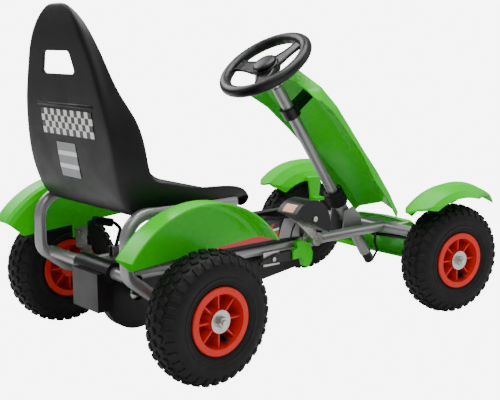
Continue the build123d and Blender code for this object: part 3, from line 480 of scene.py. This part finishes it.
def make_tyre_mesh():
    """The carcass with three crown rows and a row of lugs down each shoulder, as one mesh."""
    parts = [make_carcass()]
    step = 2 * math.pi / BLOCKS_ROUND
    # Each crown row: its side and radius in millimetres, its start in steps, its tilt and twist.
    rows = [(0.0, 125.2, 0.0, 0.0, 0.35), (17.0, 122.8, 0.5, 0.16, -0.35), (-17.0, 122.8, 0.5, -0.16, -0.35)]
    for i, (side, radius, start, tilt, twist) in enumerate(rows):
        parts.append(add_ring(f"row_{i}", crown_block, tyre_rubber, Count=BLOCKS_ROUND,
                              Radius=radius * MM, Side=side * MM, Start=start * step, Tilt=-tilt,
                              Twist=twist))
    for sign in (1, -1):
        parts.append(add_ring(f"lugs_{sign}", lug_block, tyre_rubber, Count=BLOCKS_ROUND,
                              Radius=113.5 * MM, Side=32.2 * sign * MM, Start=0.0,
                              Tilt=-0.88 * sign, Twist=0.0))
    return join_pieces("tyre_pattern", parts)


tyre_pattern = make_tyre_mesh()
print("tyre faces", len(tyre_pattern.data.polygons))

# %% Stand a tyre on each wheel


def wheel_matrix(end, side):
    """From a wheel drawn along +Z (outwards) to its place on the kart at rest."""
    sign = 1 if side == "left" else -1
    track_half = (FRONT_TRACK if end == "front" else REAR_TRACK) / 2
    along = WHEELBASE if end == "front" else 0
    upright = Matrix.Translation(at(along, sign * track_half, TYRE_RADIUS)) @ Matrix.Rotation(
        math.radians(-90 * sign), 4, "X")
    if end == "rear":
        return upright
    kingpin = at(WHEELBASE, sign * KINGPIN_Y, 0)
    steer = Matrix.Rotation(REST_STEER, 4, "Z")
    return Matrix.Translation(kingpin) @ steer @ Matrix.Translation(-kingpin) @ upright


def wheel_body(end, side):
    """The body that a wheel's pieces ride on; the right rear wheel drives, so it is on the axle."""
    if end == "front":
        return "front_wheel_" + side
    return "rear_axle" if side == "right" else "rear_wheel_left"


WHEELS = [(end, side) for end in ("front", "rear") for side in ("left", "right")]
for end, side in WHEELS:
    mesh = tyre_pattern.data.copy()
    mesh.transform(wheel_matrix(end, side))
    tyre = bpy.data.objects.new(f"{end}_tyre_{side}_treaded", mesh)
    bpy.context.scene.collection.objects.link(tyre)
    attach(tyre, wheel_body(end, side))
    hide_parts(f"{end}_tyre_{side}")
for helper in (tyre_pattern, crown_block, lug_block):
    bpy.data.objects.remove(helper)
print("tyres", len(WHEELS))

# %% [markdown]
# ## The bucket seat
# The seat is one blow-moulded shell: a tall back that narrows to a rounded top, bolsters that
# deepen towards the hips, and a shallow pan. It is a skin over rows of points that run from the
# top of the back down and forward along the pan, thickened and then rounded by subdivision.

# %% Seat shell
# Each row: back surface (along, up, half width), then the lip of the bolster (along, up, half width).
SEAT_ROWS = [
    ((-143, 706, 16), (-141, 705, 30)), ((-146, 694, 46), (-136, 692, 58)),
    ((-149, 668, 72), (-130, 668, 86)), ((-149, 636, 94), (-126, 639, 108)),
    ((-145, 600, 112), (-119, 605, 126)), ((-142, 565, 126), (-111, 568, 140)),
    ((-140, 533, 137), (-100, 536, 152)), ((-137, 505, 145), (-86, 511, 161)),
    ((-134, 478, 151), (-73, 484, 168)), ((-130, 450, 156), (-66, 452, 174)),
    ((-126, 420, 158), (-63, 421, 178)), ((-121, 390, 156), (-58, 395, 178)),
    ((-114, 362, 152), (-48, 379, 178)), ((-104, 334, 149), (-28, 374, 178)),
    ((-86, 313, 147), (-4, 370, 178)), ((-55, 306, 146), (26, 362, 178)),
    ((0, 306, 146), (56, 357, 178)), ((60, 306, 146), (90, 356, 178)),
    ((112, 307, 146), (124, 354, 177)), ((150, 312, 146), (152, 350, 176)),
    ((176, 322, 145), (174, 340, 174)), ((188, 322, 143), (186, 326, 168)),
    ((186, 312, 141), (184, 314, 160)), ((176, 306, 138), (174, 307, 152))]
SEAT_WALL = 5
FLAT_STEPS = 6
SIDE_STEPS = 7


def seat_row(back, lip):
    """Points across one row, from the right lip over the back surface to the left lip."""
    start = Vector((back[0], back[2], back[1]))
    end = Vector((lip[0], lip[2], lip[1]))
    corner = Vector((start.x + 0.1 * (end.x - start.x), end.y - 1.0, start.z + 0.1 * (end.z - start.z)))
    half = [Vector((start.x, start.y * k / FLAT_STEPS, start.z)) for k in range(FLAT_STEPS)]
    for k in range(SIDE_STEPS + 1):
        t = k / SIDE_STEPS
        half.append(start * (1 - t) ** 2 + corner * 2 * t * (1 - t) + end * t * t)
    row = [Vector((p.x, -p.y, p.z)) for p in reversed(half[1:])] + half
    return [at(p.x, p.y, p.z) for p in row]


seat_points = [p for back, lip in SEAT_ROWS for p in seat_row(back, lip)]
seat_columns = 2 * (FLAT_STEPS + SIDE_STEPS) + 1
seat_faces = grid_faces(len(SEAT_ROWS), seat_columns)
seat = make_piece("seat_shell", seat_points, seat_faces, [black_polyethylene])
wall = seat.modifiers.new("wall", "SOLIDIFY")
wall.thickness = SEAT_WALL * MM
wall.offset = -1
smooth = seat.modifiers.new("rounding", "SUBSURF")
smooth.levels = 2
smooth.render_levels = 2
apply_modifiers(seat)
face_outwards(seat)
slot_outline = [(-54, 574), (54, 574), (60, 580), (49, 612), (43, 617), (-43, 617), (-49, 612),
                (-60, 580)]
slot_points = [at(x, y, z) for x in (-190, -100) for y, z in slot_outline]
slot_faces = grid_faces(2, 8, closed_columns=True) + [tuple(range(8)), tuple(range(15, 7, -1))]
cutter = make_piece("slot_cutter", slot_points, slot_faces, [black_polyethylene], smooth=False)
face_outwards(cutter)
cut = seat.modifiers.new("hand_slot", "BOOLEAN")
cut.object = cutter
cut.operation = "DIFFERENCE"
cut.solver = "EXACT"
apply_modifiers(seat)
bpy.data.objects.remove(cutter)
seat.data.shade_smooth()
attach(seat, "frame")
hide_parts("seat")
print("seat faces", len(seat.data.polygons))

# %% [markdown]
# ## Stickers and plates on the seat
# A chequered vinyl sticker crosses the back of the seat, with a blank grey plate under it. A sticker is
# a thin skin that follows the seat, so its points are taken from the seat's own sections.

# %% Chequer, bar and plate
white_vinyl = make_finish("white_vinyl", "#E9E9E6", "#DEDEDA", 0.35, 4.0, 0.01, coat=0.2)
black_vinyl = make_finish("black_vinyl", "#0E0E0F", "#141415", 0.3, 4.0, 0.01, coat=0.2)
grey_vinyl = make_finish("grey_vinyl", "#8F9094", "#85868A", 0.4, 4.0, 0.01)
red_vinyl = make_finish("red_vinyl", "#C8141A", "#B81016", 0.3, 4.0, 0.01, coat=0.2)


def seat_back_x(z):
    """How far along the kart the seat's rear surface is at a height, in millimetres."""
    rows = sorted((back[1], back[0]) for back, lip in SEAT_ROWS[:14])
    for (z0, x0), (z1, x1) in zip(rows, rows[1:]):
        if z0 <= z <= z1:
            return x0 + (x1 - x0) * (z - z0) / (z1 - z0)
    return rows[0][1]


def face_rearwards(piece):
    """Turn every face of an open skin towards the rear of the kart."""
    edit = bmesh.new()
    edit.from_mesh(piece.data)
    for face in edit.faces:
        if face.normal.x > 0:
            face.normal_flip()
    edit.to_mesh(piece.data)
    edit.free()


def add_back_patch(name, columns, rows, low, high, right, left, materials, pick, proud=1.1):
    """A thin patch on the rear of the seat, its cells coloured by a rule."""
    points = []
    for i in range(rows + 1):
        z = low + (high - low) * i / rows
        for j in range(columns + 1):
            y = right + (left - right) * j / columns
            points.append(at(seat_back_x(z) - proud, y, z))
    patch = make_piece(name, points, grid_faces(rows + 1, columns + 1), materials, smooth=False)
    for k, face in enumerate(patch.data.polygons):
        face.material_index = pick(k // columns, k % columns)
    face_rearwards(patch)
    wall = patch.modifiers.new("vinyl", "SOLIDIFY")
    wall.thickness = 0.8 * MM
    wall.offset = -1
    apply_modifiers(patch)
    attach(patch, "frame")
    return patch


add_back_patch("chequer_sticker", 15, 4, 457, 506, -106, 84, [white_vinyl, black_vinyl],
               lambda i, j: (i + j) % 2)
add_back_patch("blank_plate", 1, 8, 374, 442, -30, 40, [grey_vinyl, white_vinyl],
               lambda i, j: 1 if i in (2, 5) else 0)

# A rounded rib runs across the seat just above the chequer.
bar_rows = 8
BAR_HEIGHT = 515
BAR_RADIUS = 4.5
BAR_SUNK = 1.5
bar_points = []
for i in range(bar_rows + 1):
    turn = math.pi * i / bar_rows
    z = BAR_HEIGHT + BAR_RADIUS * math.cos(turn)
    proud = BAR_RADIUS * math.sin(turn) - BAR_SUNK
    for y in (-112, -108, 0, 92, 96):
        inset = 0.0 if abs(y + 8) < 101 else 2.5
        bar_points.append(at(seat_back_x(z) - max(proud - inset, -BAR_SUNK), y, z))
bar = make_piece("seat_rib", bar_points, grid_faces(bar_rows + 1, 5), [black_polyethylene])
face_rearwards(bar)
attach(bar, "frame")
print("seat trim ready")

# %% [markdown]
# ## The steering wheel
# A moulded wheel: a thick oval grip with a seam round it, three flat spokes that dish down to the
# hub, and a domed pad. It is drawn flat and then laid on the column.

# %% Steering wheel
COLUMN_LEAN = math.radians(35.5)
COLUMN_UP = Vector((-math.sin(COLUMN_LEAN), 0, math.cos(COLUMN_LEAN)))
COLUMN_FORWARD = Vector((math.cos(COLUMN_LEAN), 0, math.sin(COLUMN_LEAN)))
STEERING_HUB = at(WHEELBASE - 359, 0, 583)
SPOKE_OFFSET = 15
WHEEL_TURN = REST_STEER / STEER_RATIO
column_matrix = Matrix.Translation(STEERING_HUB) @ Matrix((
    (COLUMN_FORWARD.x, 0, COLUMN_UP.x), (0, 1, 0), (COLUMN_FORWARD.z, 0, COLUMN_UP.z))).to_4x4()
column_matrix = column_matrix @ Matrix.Rotation(WHEEL_TURN, 4, "Z")


def add_grip_ring():
    """The oval grip, with a seam groove inside and outside and shallow finger waves."""
    around, across = 120, 28
    middle_radius, half_wide, half_high, seam, seam_degrees = 101, 13.6, 12.6, 0.9, 7
    points = []
    for i in range(around):
        turn = 2 * math.pi * i / around
        for j in range(across):
            angle = 2 * math.pi * j / across
            groove = seam * math.exp(-((math.degrees(angle) - 180) / seam_degrees) ** 2)
            groove += seam * math.exp(-(math.degrees(angle) / seam_degrees) ** 2)
            finger = 0.5 * math.cos(24 * turn) * max(0.0, -math.cos(angle))
            radius = middle_radius + (half_wide - groove + finger) * math.cos(angle)
            height = (half_high - groove) * math.sin(angle)
            points.append(Vector((radius * math.cos(turn), radius * math.sin(turn), height)) * MM)
    ring = make_piece("grip_ring", points, grid_faces(around, across, True, True), [black_abs])
    face_outwards(ring)
    return ring


def add_spoke(angle):
    """A flat spoke with a raised edge, from the hub out to the grip."""
    # Each station: distance out, half width, middle height and thickness, in millimetres.
    stations = [(18, 25, -9, 9), (34, 23, -7.5, 8), (52, 19, -6, 7), (70, 17.5, -4, 6.5),
                (84, 19, -2, 7.5), (93, 24, 0, 9)]
    section = [(-1, -1), (-1, 0.55), (-0.86, 1), (-0.7, 1), (-0.6, 0.55), (0.6, 0.55), (0.7, 1),
               (0.86, 1), (1, 0.55), (1, -1)]
    points = []
    for out, half, middle, thick in stations:
        for side, level in section:
            points.append(Vector((out, side * half, middle + level * thick / 2)) * MM)
    count = len(section)
    faces = grid_faces(len(stations), count, closed_columns=True)
    faces += [tuple(range(count)), tuple(range(len(points) - 1, len(points) - 1 - count, -1))]
    spoke = make_piece("spoke", points, faces, [black_abs], smooth=False)
    spoke.data.transform(Matrix.Rotation(angle, 4, "Z"))
    face_outwards(spoke)
    edge = spoke.modifiers.new("edges", "BEVEL")
    edge.width = 1.2 * MM
    edge.segments = 2
    edge.limit_method = "ANGLE"
    apply_modifiers(spoke)
    return spoke


wheel_parts = [add_grip_ring()]
wheel_parts += [add_spoke(math.radians(angle - SPOKE_OFFSET)) for angle in (0, 120, 240)]
hub_profile = [(0.01, -44), (15, -44), (17, -42), (17.5, -26), (27, -24), (31, -18), (31.5, -6),
               (29, -2), (22, 0.5), (0.01, 1)]
wheel_parts.append(add_lathe("hub_body", hub_profile, 64, [black_abs], closed=False))
steering_wheel = join_pieces("steering_wheel_moulded", wheel_parts)
steering_wheel.data.transform(column_matrix)
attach(steering_wheel, "steering")
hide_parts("steering_wheel")
pad_profile = [(0.01, 1.0), (28, 1.0), (29, 3), (28, 6), (24, 8.6), (16, 10.2), (7, 10.9), (0.01, 11)]
pad = add_lathe("hub_pad_domed", pad_profile, 64, [black_abs], closed=False)
pad.data.transform(column_matrix)
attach(pad, "steering")
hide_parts("steering_hub_cap")
print("steering wheel faces", len(steering_wheel.data.polygons))

# %% [markdown]
# A ribbed rubber boot covers the top bearing at the foot of the column.

# %% Column boot
BOOT_FROM_HUB = 388
boot_profile = [(21.2, -37), (21.2, 2.6), (14.8, 2.6), (14.8, 5.2), (22.2, 5.4), (23.8, 3.6),
                (23.8, -2), (22.6, -4), (22.6, -9), (23.6, -11), (23.6, -15), (22.6, -17),
                (22.6, -22), (23.6, -24), (23.6, -28), (22.6, -30), (22.4, -36)]
boot = add_lathe("column_boot", boot_profile, 56, [soft_rubber])
boot.data.transform(column_matrix @ Matrix.Translation((0, 0, -BOOT_FROM_HUB * MM)))
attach(boot, "frame")
print("column boot faces", len(boot.data.polygons))

# %% [markdown]
# ## Stripes on the chain case
# The case has a long sticker with red and white stripes over black, and silver foil arcs round the
# crank. Plain flat bands stand on the shoulder's flat face, just proud of it.

# %% Case stripes
case_low, case_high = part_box("chain_case_outer")


def add_case_band(name, corners, material, proud):
    """A flat band on the outer face of the chain case, from corners (along, up)."""
    face_y = case_low.y / MM - proud
    points = [at(x, face_y, z) for x, z in corners] + [at(x, face_y + 0.6, z) for x, z in corners]
    count = len(corners)
    faces = [tuple(range(count)), tuple(range(2 * count - 1, count - 1, -1))]
    faces += [(i, (i + 1) % count, count + (i + 1) % count, count + i) for i in range(count)]
    band = make_piece(name, points, faces, [material], smooth=False)
    face_outwards(band)
    return band


CRANK_X, CRANK_Z = WHEELBASE - 277, 183


def crank_arc(radius, first, last, count=12):
    """Points round the crank on the case's face, angles in degrees from forwards."""
    angles = [math.radians(first + (last - first) * i / count) for i in range(count + 1)]
    return [(CRANK_X + radius * math.cos(a), CRANK_Z + radius * math.sin(a)) for a in angles]


silver_foil = make_finish("silver_foil", "#9A999B", "#8E8D8F", 0.35, 3.0, 0.02, metallic=0.5)
bands = [
    add_case_band("band_black", [(150, 192), (366, 192), (366, 234), (330, 240), (158, 211)],
                  black_vinyl, 0.7),
    add_case_band("band_red", [(168, 194), (363, 194), (363.5, 212), (190, 201)], red_vinyl, 1.1),
    add_case_band("band_white", [(210, 203.5), (364, 213.5), (365, 219), (222, 207.5)],
                  white_vinyl, 1.1),
    add_case_band("foil_outer", crank_arc(96, 174, 145) + crank_arc(62, 125, 172), silver_foil, 1.5),
    add_case_band("foil_inner", crank_arc(57, 171, 128) + [(429, 190)], silver_foil, 1.5)]
for k in range(4):
    x = 268 + 22 * k
    low, high = 213 + 1.4 * k, 222 + 2.6 * k
    slash = [(x, low), (x + 11, low + 0.6), (x + 19, high), (x + 8, high - 1)]
    bands.append(add_case_band(f"slash_{k}", slash, red_vinyl, 1.1))
case_stripes = join_pieces("case_stripes", bands)
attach(case_stripes, "frame")
print("case stripes", len(case_stripes.data.polygons))
